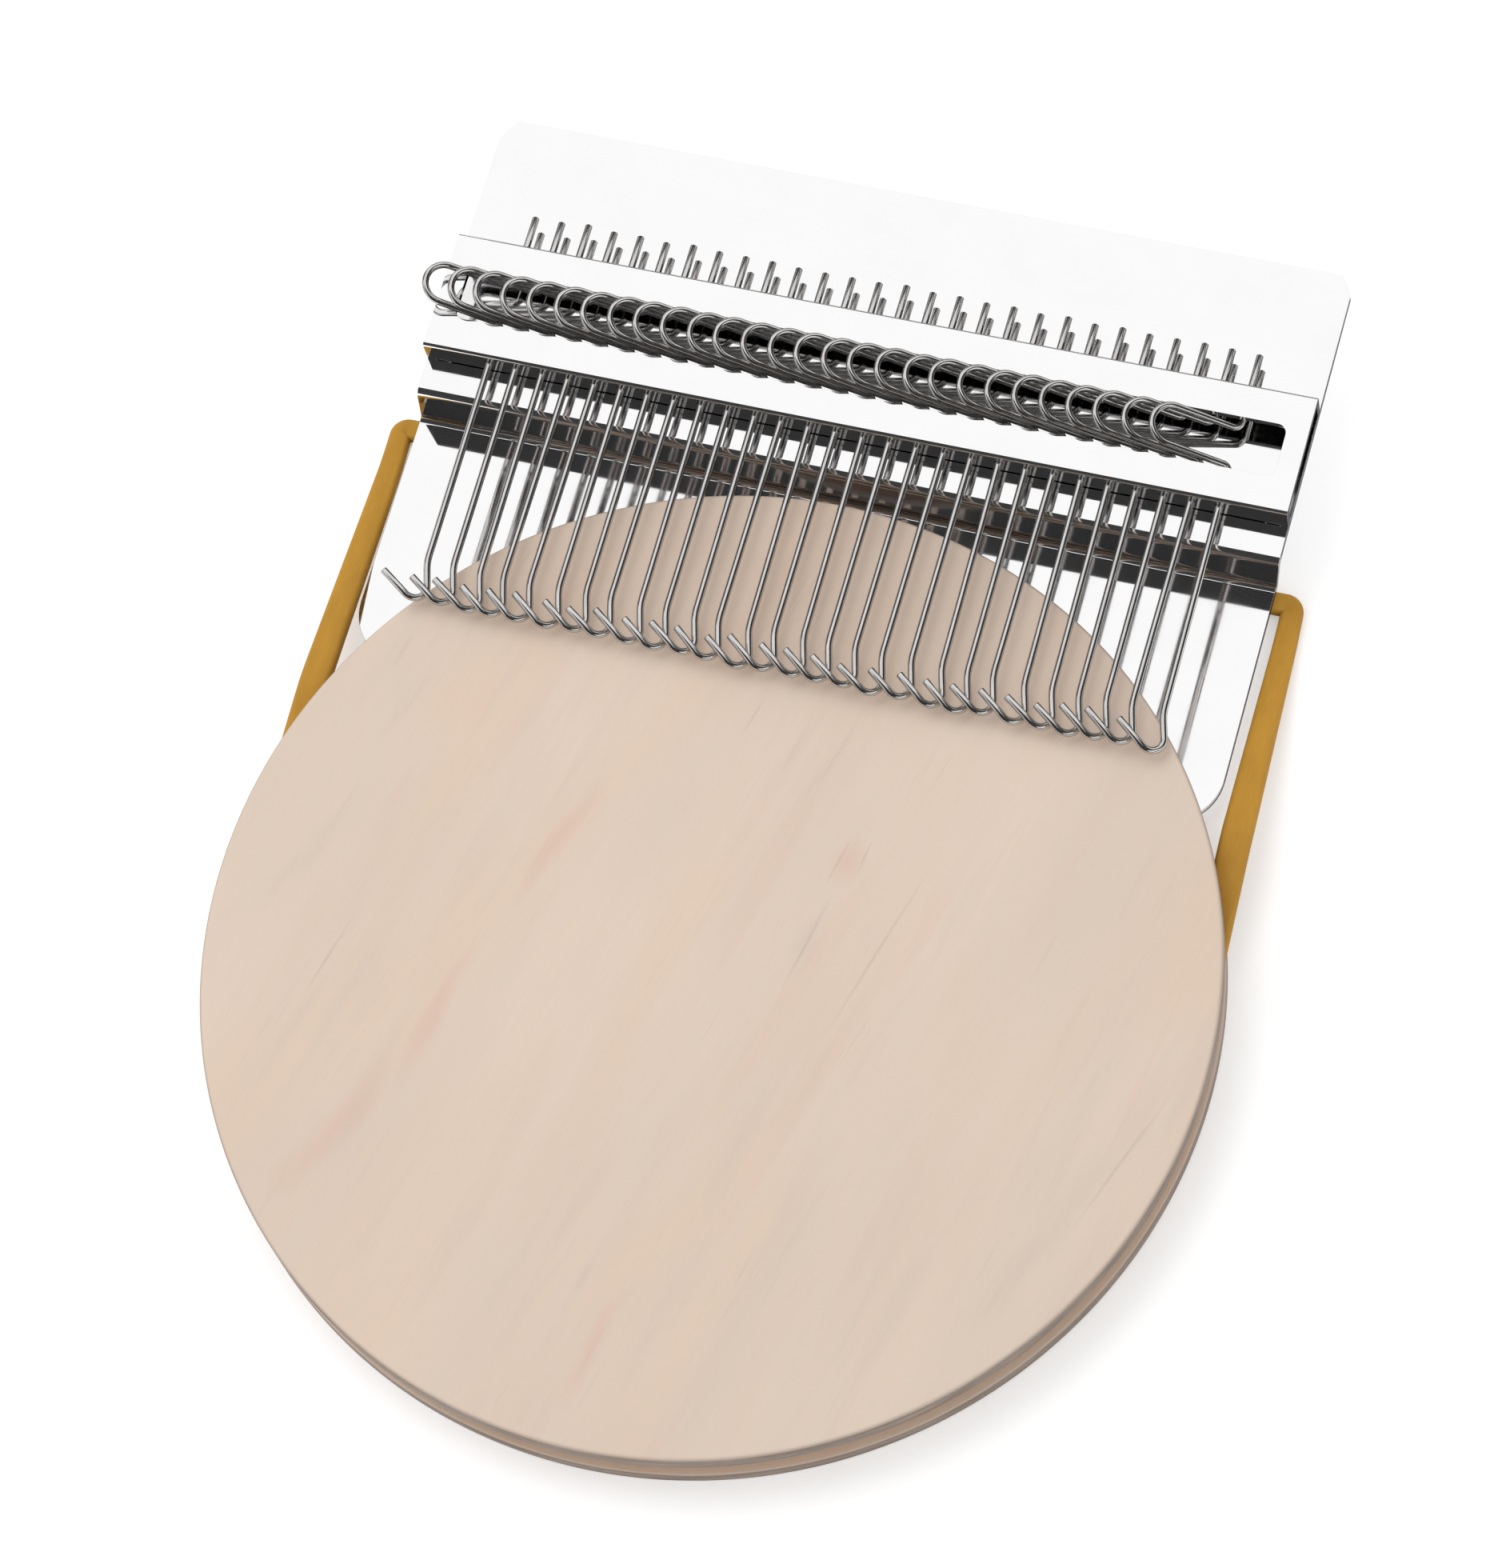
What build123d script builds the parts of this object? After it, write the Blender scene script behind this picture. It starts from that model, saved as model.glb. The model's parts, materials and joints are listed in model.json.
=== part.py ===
from build123d import *
import math
import os

# Darning loom: a steel head with 28 turning hook wires, a wooden disc under the hooks and a
# rubber band that holds the disc on the head's tongue. Millimetres.
# It is drawn with x = 0, y = 0 at the disc's middle and z = 0 on the table, the handle plate
# towards +Y. The finished pieces then move along Y, so that the origin is the middle of the
# whole loom on the table.

# Wooden disc
DISC_DIAMETER = 70.0
DISC_THICKNESS = 4.8
DISC_EDGE_CHAMFER = 0.3
GROOVE_WIDTH = 1.8
GROOVE_DEPTH = 2.8

# Rubber band, a flat strip that lies with its broad side level
BAND_WIDTH = 1.7
BAND_THICKNESS = 1.0
BAND_SEAT_GAP = 0.05
BAND_LEFT_GAP = 0.15
BAND_RIGHT_GAP = 0.3
BAND_BEFORE_STEP = 0.75
BAND_CORNER_RADIUS = 1.2
BAND_CORNER_FLAT = 0.3
BAND_LIP_GAP = 1.7
BAND_DROP_END = 3.0
BAND_BEND_RADIUS = 12.0

# Base plate, one bent sheet of steel
BASE_SHEET = 0.6
FOOT_BEND = 0.45
CREST_BEND = 0.2
HEAD_MARGIN = 4.855
HEAD_OFFSET = -0.8
TONGUE_LENGTH = 18.75
TONGUE_CORNER = 4.0
STEP_GAP = 2.25
STEP_LEAN = 2.0
SHELF_DROP = 0.3
SHELF_DEPTH = 2.85
HANDLE_DEPTH = 10.6
HANDLE_CORNER_X = 1.2
HANDLE_CORNER_Y = 1.6

# Hook channel, a sheet bent to an upside-down U that stands on the shelf
CHANNEL_SHEET = 0.5
CHANNEL_BEND = 0.15
CHANNEL_WIDTH = 9.15
SLOT_WIDTH = 4.0
SLOT_CORNER = 0.7
FOOT_LENGTH = 1.6
FOOT_RELIEF = 0.15
TAB_LENGTH = 1.0
TAB_CLEARANCE = 0.05

# Hook wires
HOOK_COUNT = 28
HOOK_PITCH = 1.97
HOOK_OVER_DISC = 0.9
WIRE_DIAMETER = 0.5
WIRE_CLEARANCE = 0.05
WIRE_WEB_GAP = 0.15
WIRE_BEND = 0.5
REST_ANGLE = 22.0
LEVER_REACH = 6.2
LEVER_SIDE_GAP = 0.3
LEVER_END_GAP = 0.16
STUB_LENGTH = 2.7
SHANK_LENGTH = 15.85
HOOK_LENGTH = 3.1
HOOK_DISC_GAP = 0.1
HOOK_RADIUS = 0.7
HOOK_TIP_ANGLE = 32.0
HOOK_TIP_LENGTH = 2.9

# The wires and their holes are many and fine, so they have flat facets
WIRE_SIDES = 8
WIRE_BEND_STEP = 50.0

# Levels
WIRE_RADIUS = WIRE_DIAMETER / 2
TONGUE_UNDER = BAND_THICKNESS
TONGUE_TOP = TONGUE_UNDER + BASE_SHEET
DISC_TOP = TONGUE_TOP + DISC_THICKNESS
GROOVE_FLOOR = TONGUE_TOP + (DISC_THICKNESS - GROOVE_WIDTH) / 2
SHELF_TOP = DISC_TOP - SHELF_DROP
STEP_HEIGHT = SHELF_TOP - TONGUE_TOP
HOOK_AXIS = DISC_TOP + HOOK_OVER_DISC
CHANNEL_TOP = HOOK_AXIS + WIRE_RADIUS + WIRE_WEB_GAP + CHANNEL_SHEET

# Places along the loom
DISC_RADIUS = DISC_DIAMETER / 2
GROOVE_RADIUS = DISC_RADIUS - GROOVE_DEPTH
STEP_FRONT = DISC_RADIUS + STEP_GAP
STEP_SLOPE = math.tan(math.radians(STEP_LEAN))
TONGUE_FRONT = STEP_FRONT - TONGUE_LENGTH
CHANNEL_FRONT = STEP_FRONT - STEP_HEIGHT * STEP_SLOPE + SHELF_DEPTH
CHANNEL_REAR = CHANNEL_FRONT + CHANNEL_WIDTH
CHANNEL_MIDDLE = CHANNEL_FRONT + CHANNEL_WIDTH / 2
HANDLE_REAR = CHANNEL_REAR + HANDLE_DEPTH
SHANK_END = CHANNEL_FRONT - SHANK_LENGTH
LENGTH_MIDDLE = (HANDLE_REAR - DISC_RADIUS) / 2

# Places across the loom
HOOK_ROW = (HOOK_COUNT - 1) * HOOK_PITCH
HEAD_WIDTH = HOOK_ROW + 2 * HEAD_MARGIN
HEAD_LEFT = HEAD_OFFSET - HEAD_WIDTH / 2
HEAD_RIGHT = HEAD_OFFSET + HEAD_WIDTH / 2


def bent_strip(points, bends, width, thickness):
    """A flat strip bent along a line in the YZ plane, as wide as asked across that plane. The
    line runs half-way through the strip, and each bend is the radius on its hollow side."""
    line = FilletPolyline(*points, radius=[bend + thickness / 2 for bend in bends])
    start = Plane(origin=line @ 0, x_dir=(1, 0, 0), z_dir=line % 0)
    return sweep(start * Rectangle(width, thickness), path=line)


def wooden_disc():
    outline = Pos(DISC_RADIUS / 2, DISC_THICKNESS / 2) * Rectangle(DISC_RADIUS, DISC_THICKNESS)
    rim = outline.vertices().group_by(Axis.X)[-1]
    outline = chamfer(rim, DISC_EDGE_CHAMFER)
    groove = Pos(DISC_RADIUS, DISC_THICKNESS / 2) * Rectangle(2 * GROOVE_DEPTH, GROOVE_WIDTH)
    return Pos(0, 0, TONGUE_TOP) * revolve(Plane.XZ * (outline - groove), Axis.Z)


def base_plate():
    """Handle plate, shelf, step wall and tongue, bent from one sheet."""
    half = BASE_SHEET / 2
    foot = STEP_FRONT + half * math.hypot(1, STEP_SLOPE) + half * STEP_SLOPE
    crest = foot - STEP_HEIGHT * STEP_SLOPE
    plate = bent_strip(
        [
            (HEAD_OFFSET, TONGUE_FRONT, TONGUE_TOP - half),
            (HEAD_OFFSET, foot, TONGUE_TOP - half),
            (HEAD_OFFSET, crest, SHELF_TOP - half),
            (HEAD_OFFSET, HANDLE_REAR, SHELF_TOP - half),
        ],
        [FOOT_BEND, CREST_BEND], HEAD_WIDTH, BASE_SHEET,
    )
    plate = fillet(plate.edges().filter_by(Axis.Z).group_by(Axis.Y)[0], TONGUE_CORNER)
    for side, edge in ((-1, HEAD_LEFT), (1, HEAD_RIGHT)):
        corner = Polyline(
            (edge, HANDLE_REAR),
            (edge - side * HANDLE_CORNER_X, HANDLE_REAR),
            (edge, HANDLE_REAR - HANDLE_CORNER_Y),
            close=True,
        )
        plate -= extrude(Pos(0, 0, SHELF_TOP - 2 * BASE_SHEET) * make_face(corner), 3 * BASE_SHEET)
    slot = Box(TAB_LENGTH + 2 * TAB_CLEARANCE, CHANNEL_SHEET + 2 * TAB_CLEARANCE, 3 * BASE_SHEET)
    plate -= [place * slot for place in tab_places()]
    return plate


def tab_places():
    """Middles of the four tabs, half-way through the shelf's sheet."""
    inset = FOOT_LENGTH - TAB_LENGTH / 2
    rows = (CHANNEL_FRONT + CHANNEL_SHEET / 2, CHANNEL_REAR - CHANNEL_SHEET / 2)
    return [Pos(x, y, SHELF_TOP - BASE_SHEET / 2) for x in (HEAD_LEFT + inset, HEAD_RIGHT - inset) for y in rows]


def hook_channel():
    """Upside-down U with a slot for the levers and a row of holes in each flange. It stands on
    feet at its two ends, and each foot has a tab in a slot of the shelf."""
    half = CHANNEL_SHEET / 2
    body = bent_strip(
        [
            (HEAD_OFFSET, CHANNEL_FRONT + half, SHELF_TOP),
            (HEAD_OFFSET, CHANNEL_FRONT + half, CHANNEL_TOP - half),
            (HEAD_OFFSET, CHANNEL_REAR - half, CHANNEL_TOP - half),
            (HEAD_OFFSET, CHANNEL_REAR - half, SHELF_TOP),
        ],
        [CHANNEL_BEND, CHANNEL_BEND], HEAD_WIDTH, CHANNEL_SHEET,
    )
    # The outermost lever, at its rest angle, clears the end of the slot.
    rest = math.radians(REST_ANGLE)
    over_axis = CHANNEL_TOP - HOOK_AXIS + LEVER_END_GAP + WIRE_RADIUS / math.cos(rest)
    slot_length = HOOK_ROW + 2 * over_axis / math.tan(rest)
    slot = RectangleRounded(slot_length, SLOT_WIDTH, SLOT_CORNER)
    slot_place = Pos(HEAD_OFFSET, CHANNEL_MIDDLE, CHANNEL_TOP - 2 * CHANNEL_SHEET)
    body -= slot_place * extrude(slot, 3 * CHANNEL_SHEET)
    relief = Box(HEAD_WIDTH - 2 * FOOT_LENGTH, 2 * CHANNEL_WIDTH, 2 * FOOT_RELIEF)
    body -= Pos(HEAD_OFFSET, CHANNEL_MIDDLE, SHELF_TOP) * relief
    outline = RegularPolygon(WIRE_RADIUS + WIRE_CLEARANCE, WIRE_SIDES, major_radius=False)
    hole = extrude(Plane.XZ * outline, CHANNEL_WIDTH, both=True)
    body -= [Pos(x, CHANNEL_MIDDLE, HOOK_AXIS) * hole for x in hook_places()]
    tab = Box(TAB_LENGTH, CHANNEL_SHEET, BASE_SHEET)
    body += [place * tab for place in tab_places()]
    return body


def hook_places():
    """Distances across the loom of the hook wires, from left to right."""
    first = HEAD_OFFSET - HOOK_ROW / 2
    return [first + number * HOOK_PITCH for number in range(HOOK_COUNT)]


def hook_line():
    """Middle line of one wire, drawn flat. Its shaft is on x = 0, its lever and its hook open
    towards +x, and y is the place along the loom."""
    spread = SLOT_WIDTH / 2 - LEVER_SIDE_GAP - WIRE_RADIUS
    rear_arm = CHANNEL_MIDDLE + spread
    front_arm = CHANNEL_MIDDLE - spread
    ring_start = LEVER_REACH - spread
    rear = FilletPolyline(
        (0, CHANNEL_REAR + STUB_LENGTH), (0, rear_arm), (ring_start, rear_arm), radius=WIRE_BEND
    )
    ring = ThreePointArc((ring_start, rear_arm), (LEVER_REACH, CHANNEL_MIDDLE), (ring_start, front_arm))

    # The shank leans back to meet the hook's round at a tangent. The round reaches as far back
    # as the disc allows when the lever stands upright.
    turn_x = HOOK_RADIUS - (HOOK_OVER_DISC - WIRE_RADIUS - HOOK_DISC_GAP)
    turn_y = SHANK_END - HOOK_LENGTH + WIRE_RADIUS + HOOK_RADIUS
    reach = math.hypot(turn_x, SHANK_END - turn_y)
    touch = math.atan2(SHANK_END - turn_y, -turn_x) + math.acos(HOOK_RADIUS / reach)
    touch_point = (turn_x + HOOK_RADIUS * math.cos(touch), turn_y + HOOK_RADIUS * math.sin(touch))
    front = FilletPolyline(
        (ring_start, front_arm), (0, front_arm), (0, SHANK_END), touch_point, radius=[WIRE_BEND, 0]
    )
    bend = math.radians(270 + HOOK_TIP_ANGLE) - touch
    turn = JernArc(front @ 1, front % 1, HOOK_RADIUS, math.degrees(bend))
    tip = PolarLine(turn @ 1, HOOK_TIP_LENGTH, HOOK_TIP_ANGLE)
    return Wire([*rear.edges(), *ring.edges(), *front.edges(), *turn.edges(), *tip.edges()])


def straight_runs(line):
    """The same line with each arc divided into straight runs of equal turn."""
    points = [line @ 0]
    reached = 0
    for edge in line.order_edges():
        turn = math.degrees(edge.length / edge.radius) if edge.geom_type == GeomType.CIRCLE else 0
        runs = max(1, round(turn / WIRE_BEND_STEP))
        for run in range(1, runs + 1):
            points.append(line @ ((reached + edge.length * run / runs) / line.length))
        reached += edge.length
    return Polyline(*points)


def hook_wire():
    """One wire at x = 0, with its lever raised by the rest angle on the left."""
    rest = math.radians(REST_ANGLE)
    flat = Plane(
        origin=(0, 0, HOOK_AXIS),
        x_dir=(-math.cos(rest), 0, math.sin(rest)),
        z_dir=(-math.sin(rest), 0, -math.cos(rest)),
    )
    line = flat * straight_runs(hook_line())
    start = Plane(origin=line @ 0, x_dir=flat.x_dir, z_dir=line % 0)
    outline = RegularPolygon(WIRE_RADIUS, WIRE_SIDES, rotation=180 / WIRE_SIDES)
    return sweep(start * outline, path=line, transition=Transition.RIGHT)


def rubber_band():
    """Closed band: level round the groove, sloping down along both edges of the tongue and
    across under it, just in front of the step."""
    inner_radius = GROOVE_RADIUS + BAND_SEAT_GAP
    round_radius = inner_radius + BAND_WIDTH / 2
    # Along a side, this is where the band has left the disc's lower lip.
    drop_start = math.sqrt(DISC_RADIUS**2 - inner_radius**2) + BAND_LIP_GAP
    high = GROOVE_FLOOR + BAND_SEAT_GAP + BAND_THICKNESS / 2
    low = BAND_THICKNESS / 2
    crossing = STEP_FRONT - BAND_BEFORE_STEP
    corners = (
        Vector(HEAD_LEFT - BAND_LEFT_GAP - BAND_WIDTH / 2, crossing),
        Vector(HEAD_RIGHT + BAND_RIGHT_GAP + BAND_WIDTH / 2, crossing),
    )

    angles = []
    sides = []
    ends = []
    for side, corner in zip((-1, 1), corners):
        spread = math.acos(round_radius / corner.length)
        angle = math.atan2(corner.Y, corner.X) - side * spread
        start = round_radius * Vector(math.cos(angle), math.sin(angle))
        run = corner - start
        turn = math.atan2(-run.X, run.Y)
        corner_trim = BAND_CORNER_RADIUS * math.tan((math.pi / 2 - side * turn) / 2)
        flat_end = run.length - corner_trim - BAND_CORNER_FLAT
        strip = bent_strip(
            [
                (0, 0, high),
                (0, drop_start, high),
                (0, run.length - BAND_DROP_END, low),
                (0, flat_end, low),
            ],
            [BAND_BEND_RADIUS, BAND_BEND_RADIUS], BAND_WIDTH, BAND_THICKNESS,
        )
        sides.append(Pos(start.X, start.Y) * Rot(0, 0, math.degrees(turn)) * strip)
        angles.append(math.degrees(angle) % 360)
        ends.append(start + run.normalized() * flat_end)

    section = Rectangle(BAND_WIDTH, BAND_THICKNESS)
    sweep_angle = angles[1] + 360 - angles[0]
    round_line = Pos(0, 0, high) * CenterArc((0, 0), round_radius, angles[0], sweep_angle)
    under_line = Pos(0, 0, low) * FilletPolyline(
        ends[0], corners[0], corners[1], ends[1], radius=BAND_CORNER_RADIUS
    )
    body = sides[0] + sides[1]
    for line in (round_line, under_line):
        tangent = line % 0
        start = Plane(origin=line @ 0, x_dir=(tangent.Y, -tangent.X, 0), z_dir=tangent)
        body += sweep(start * section, path=line)
    return body


os.makedirs("parts", exist_ok=True)
pieces = {
    "wooden_disc": wooden_disc(),
    "rubber_band": rubber_band(),
    "base_plate": base_plate(),
    "hook_channel": hook_channel(),
}
wire = hook_wire()
for number, place in enumerate(hook_places(), 1):
    pieces[f"hook_{number:02d}"] = Pos(place, 0, 0) * wire

for name, piece in pieces.items():
    placed = Pos(0, -LENGTH_MIDDLE, 0) * piece
    placed.label = name
    export_step(placed, f"parts/{name}.step")
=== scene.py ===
import json
import math
import random

import bmesh
import bpy
from mathutils import Matrix, Vector


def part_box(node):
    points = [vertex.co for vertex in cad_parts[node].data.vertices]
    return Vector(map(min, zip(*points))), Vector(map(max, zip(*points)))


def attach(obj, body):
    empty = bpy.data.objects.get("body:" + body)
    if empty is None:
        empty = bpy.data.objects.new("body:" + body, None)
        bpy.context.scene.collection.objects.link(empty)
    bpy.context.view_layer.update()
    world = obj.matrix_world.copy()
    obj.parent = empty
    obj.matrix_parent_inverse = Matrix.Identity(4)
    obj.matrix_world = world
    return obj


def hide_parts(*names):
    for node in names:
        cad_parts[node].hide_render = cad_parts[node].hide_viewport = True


bl_info = {
    "name": "Darning loom",
    "version": (1, 0, 0),
    "blender": (4, 5, 0),
    "location": "View3D > Sidebar > Darning loom",
    "description": "Builds the looks of a small darning loom around its fixed frame",
    "category": "Add Mesh",
}

# The frame comes first, because sizes below are read from it. All lengths are metres.
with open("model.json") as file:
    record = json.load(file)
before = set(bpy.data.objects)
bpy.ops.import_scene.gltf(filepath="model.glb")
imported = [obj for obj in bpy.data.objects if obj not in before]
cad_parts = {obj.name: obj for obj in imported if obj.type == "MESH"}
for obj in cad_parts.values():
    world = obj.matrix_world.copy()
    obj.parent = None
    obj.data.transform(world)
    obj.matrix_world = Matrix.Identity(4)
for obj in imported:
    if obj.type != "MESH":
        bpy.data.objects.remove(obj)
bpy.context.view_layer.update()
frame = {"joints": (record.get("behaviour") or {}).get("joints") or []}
MM = 0.001

PLATE_LOW, PLATE_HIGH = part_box("base_plate")
CHANNEL_LOW, CHANNEL_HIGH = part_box("hook_channel")
DISC_LOW, DISC_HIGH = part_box("wooden_disc")
BAND_LOW, BAND_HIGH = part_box("rubber_band")
HOOK_JOINTS = [joint for joint in frame["joints"] if joint["name"].startswith("hook_")]

DISC_CENTRE = (DISC_LOW + DISC_HIGH) / 2
DISC_RADIUS = (DISC_HIGH.x - DISC_LOW.x) / 2

# Sizes of the head that its boxes don't tell.
SHELF_DEPTH = 2.85 * MM
STEP_SLOPE = math.tan(math.radians(2))
FOOT_LENGTH = 1.6 * MM
TAB_LENGTH = 1.0 * MM
BAND_LEFT_GAP = 1.14 * MM
BAND_RIGHT_GAP = 0.11 * MM
# How far the tongue's two sides lie to the left of the shelf's.
TONGUE_LEFT = 0.55 * MM
TONGUE_RIGHT = 0.45 * MM

# The usual angle of one part of a bend, and the least angle that counts as a sharp edge.
ARC_STEP = math.radians(7.5)
SHARP_ANGLE = math.radians(35)


def length_property(name, description, default):
    """A size in metres that the panel shows in the scene's own unit."""
    return bpy.props.FloatProperty(
        name=name, description=description, default=default, min=0.0, unit="LENGTH", precision=5
    )


def colour_property(name, description, default):
    return bpy.props.FloatVectorProperty(
        name=name, description=description, default=default, min=0.0, max=1.0, subtype="COLOR"
    )


class DiscSettings(bpy.types.PropertyGroup):
    groove_width: length_property("Groove width", "Height of the groove in the rim", 1.8 * MM)
    groove_depth: length_property("Groove depth", "Depth of the groove from the rim", 3.1 * MM)
    edge_round: length_property("Edge round", "Radius of the turned edges", 0.35 * MM)
    grain_angle: bpy.props.FloatProperty(
        name="Grain angle", description="Turn of the grain from the loom's length",
        default=math.radians(14), unit="ROTATION",
    )
    pale: colour_property("Pale wood", "Main colour of the wood", (0.765, 0.625, 0.515))
    peach: colour_property("Peach clouds", "Colour of the wide warm clouds", (0.76, 0.585, 0.46))
    warm: colour_property("Warm streaks", "Colour of the pinkish streaks", (0.72, 0.50, 0.405))
    grey: colour_property("Grey streaks", "Colour of the cooler streaks", (0.62, 0.52, 0.445))
    # The rim colour is the end grain's own darker tone, further darkened as painted shade for the shaded
    # rim. The dark lines and pores on the face use it too.
    rim: colour_property("Rim", "Colour of the end grain round the rim", (0.17, 0.127, 0.1))
    # Painted shade: this dark colour stands for the shade inside the turned groove, not for the wood's own
    # colour.
    groove: colour_property("Groove", "Colour of the wood in the turned groove", (0.10, 0.07, 0.052))


class BandSettings(bpy.types.PropertyGroup):
    width: length_property("Width", "Width of the rubber round the disc", 2.2 * MM)
    head_width: length_property("Width at the head", "Width of the rubber under the plate", 1.6 * MM)
    thickness: length_property("Thickness", "Thickness of the stretched rubber", 1.0 * MM)
    edge_round: length_property("Edge round", "Radius of the rubber's edges", 0.42 * MM)
    colour: colour_property("Colour", "Main colour of the rubber", (0.57, 0.29, 0.035))
    # Painted sheen: a lighter colour painted along the cut lines for the rubber's faint lengthwise sheen.
    painted_sheen: colour_property("Dusty", "Colour where the rubber is pale with dust", (0.66, 0.40, 0.09))


class SteelSettings(bpy.types.PropertyGroup):
    plate_sheet: length_property("Plate sheet", "Thickness of the base plate's sheet", 0.6 * MM)
    channel_sheet: length_property("Channel sheet", "Thickness of the channel's sheet", 0.5 * MM)
    edge_break: length_property("Edge break", "Width of the polished sheet's broken edges", 0.05 * MM)
    wire: length_property("Wire", "Diameter of the hook wire", 0.5 * MM)
    bright: colour_property("Bright steel", "Colour of the polished sheet", (0.97, 0.965, 0.967))
    drawn: colour_property("Drawn wire", "Colour of the hook wire", (0.70, 0.685, 0.67))
    glancing: colour_property(
        "Glancing tint", "Tint of the steel where it is seen edge-on", (0.14, 0.14, 0.15)
    )


class StageSettings(bpy.types.PropertyGroup):
    floor_colour: colour_property("Floor", "Colour of the studio floor", (0.93, 0.93, 0.93))
    lens: bpy.props.FloatProperty(
        name="Lens", description="Focal length for a 36 mm sensor", default=137.46, unit="CAMERA"
    )


class Value:
    """One output of a shader node. Arithmetic on it adds the Math nodes."""

    def __init__(self, nodes, socket):
        self.nodes = nodes
        self.socket = socket

    def math(self, operation, first, second=0.0):
        return self.nodes.node("ShaderNodeMath", {"operation": operation}, {0: first, 1: second})

    def __add__(self, other):
        return self.math("ADD", self, other)

    def __sub__(self, other):
        return self.math("SUBTRACT", self, other)

    def __rsub__(self, other):
        return self.math("SUBTRACT", other, self)

    def __mul__(self, other):
        return self.math("MULTIPLY", self, other)

    def __truediv__(self, other):
        return self.math("DIVIDE", self, other)

    def __abs__(self):
        return self.math("ABSOLUTE", self)

    __radd__ = __add__
    __rmul__ = __mul__


class Nodes:
    """The node tree of a material or of the world, and the ways to add to it."""

    def __init__(self, owner):
        owner.use_nodes = True
        self.tree = owner.node_tree
        self.tree.nodes.clear()

    def node(self, kind, settings=None, inputs=None, output=0):
        """Adds a node. Its settings come first, then the values or links of its sockets."""
        made = self.tree.nodes.new(kind)
        for key, value in (settings or {}).items():
            if key == "stops":
                self.set_stops(made.color_ramp, value)
            else:
                setattr(made, key, value)
        for key, value in (inputs or {}).items():
            if isinstance(value, Value):
                self.tree.links.new(value.socket, made.inputs[key])
            else:
                made.inputs[key].default_value = value
        return Value(self, made.outputs[output]) if made.outputs else None

    def set_stops(self, ramp, stops):
        while len(ramp.elements) < len(stops):
            ramp.elements.new(1.0)
        for element, (place, level) in zip(ramp.elements, stops):
            element.position = place
            element.color = (level, level, level, 1.0)

    def seen(self):
        """1 for rays of the camera and of mirror surfaces, 0 for light that falls on a surface."""
        camera = self.node("ShaderNodeLightPath", output="Is Camera Ray")
        glossy = self.node("ShaderNodeLightPath", output="Is Glossy Ray")
        return camera.math("MAXIMUM", camera, glossy)


class Finish(Nodes):
    """One material and the nodes that make it up."""

    def __init__(self, name):
        self.material = bpy.data.materials.new(name)
        super().__init__(self.material)

    def place(self):
        return self.node("ShaderNodeTexCoord", output="Object")

    def stretched(self, size, turn=0.0, shift=(0.0, 0.0, 0.0)):
        """Object coordinates in units of the given grain size in metres, turned about Z."""
        turned = self.node(
            "ShaderNodeVectorRotate", {"rotation_type": "Z_AXIS"}, {"Vector": self.place(), "Angle": turn}
        )
        scaled = self.node("ShaderNodeVectorMath", {"operation": "DIVIDE"}, {0: turned, 1: size})
        return self.node("ShaderNodeVectorMath", {"operation": "ADD"}, {0: scaled, 1: shift})

    def noise(self, place, detail=2.0, roughness=0.5, distortion=0.0):
        return self.node("ShaderNodeTexNoise", None, {
            "Vector": place, "Scale": 1.0, "Detail": detail, "Roughness": roughness,
            "Distortion": distortion,
        })

    def ramp(self, factor, *stops):
        return self.node("ShaderNodeValToRGB", {"stops": stops}, {"Fac": factor})

    def mark(self, start, end, width):
        """1 on the line between two places on the wood's face, falling to 0 round about it."""
        first, last = Vector(start) * MM, Vector(end) * MM
        middle, way = (first + last) / 2, last - first
        shift = (start[0], end[1], 0.0)
        bent = self.noise(self.stretched((3 * MM, 6 * MM, 3 * MM), shift=shift))
        sway = self.node("ShaderNodeCombineXYZ", None, {0: (bent - 0.5) * (2.0 * width * MM)})
        place = self.node("ShaderNodeVectorMath", {"operation": "ADD"}, {0: self.place(), 1: sway})
        along = self.node("ShaderNodeMapping", {"vector_type": "TEXTURE"}, {
            "Vector": place,
            "Location": (middle.x, middle.y, 0.0),
            "Rotation": (0.0, 0.0, math.atan2(way.y, way.x)),
            "Scale": (0.6 * way.length, width * MM, 1.0),
        })
        away = self.node("ShaderNodeVectorMath", {"operation": "LENGTH"}, {0: along}, output="Value")
        return self.ramp(away, (0.15, 1.0), (1.0, 0.0))

    def marks(self, places):
        return sum(self.mark(start, end, width) for start, end, width in places)

    def mix(self, factor, first, second):
        colours = [value if isinstance(value, Value) else (*value, 1.0) for value in (first, second)]
        return self.node(
            "ShaderNodeMix", {"data_type": "RGBA"}, {0: factor, 6: colours[0], 7: colours[1]}, output=2
        )

    def bump(self, height, depth, strength=1.0):
        return self.node("ShaderNodeBump", None, {
            "Strength": strength, "Distance": depth, "Height": height,
        })

    def surface(self, **sockets):
        """Ends the material in a Principled shader whose sockets are named with underscores."""
        inputs = {name.replace("_", " "): value for name, value in sockets.items()}
        for name, value in inputs.items():
            if name in ("Base Color", "Emission Color", "Specular Tint") and not isinstance(value, Value):
                inputs[name] = (*value, 1.0)
        shader = self.node("ShaderNodeBsdfPrincipled", None, inputs)
        self.node("ShaderNodeOutputMaterial", None, {"Surface": shader})
        return self.material


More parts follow.
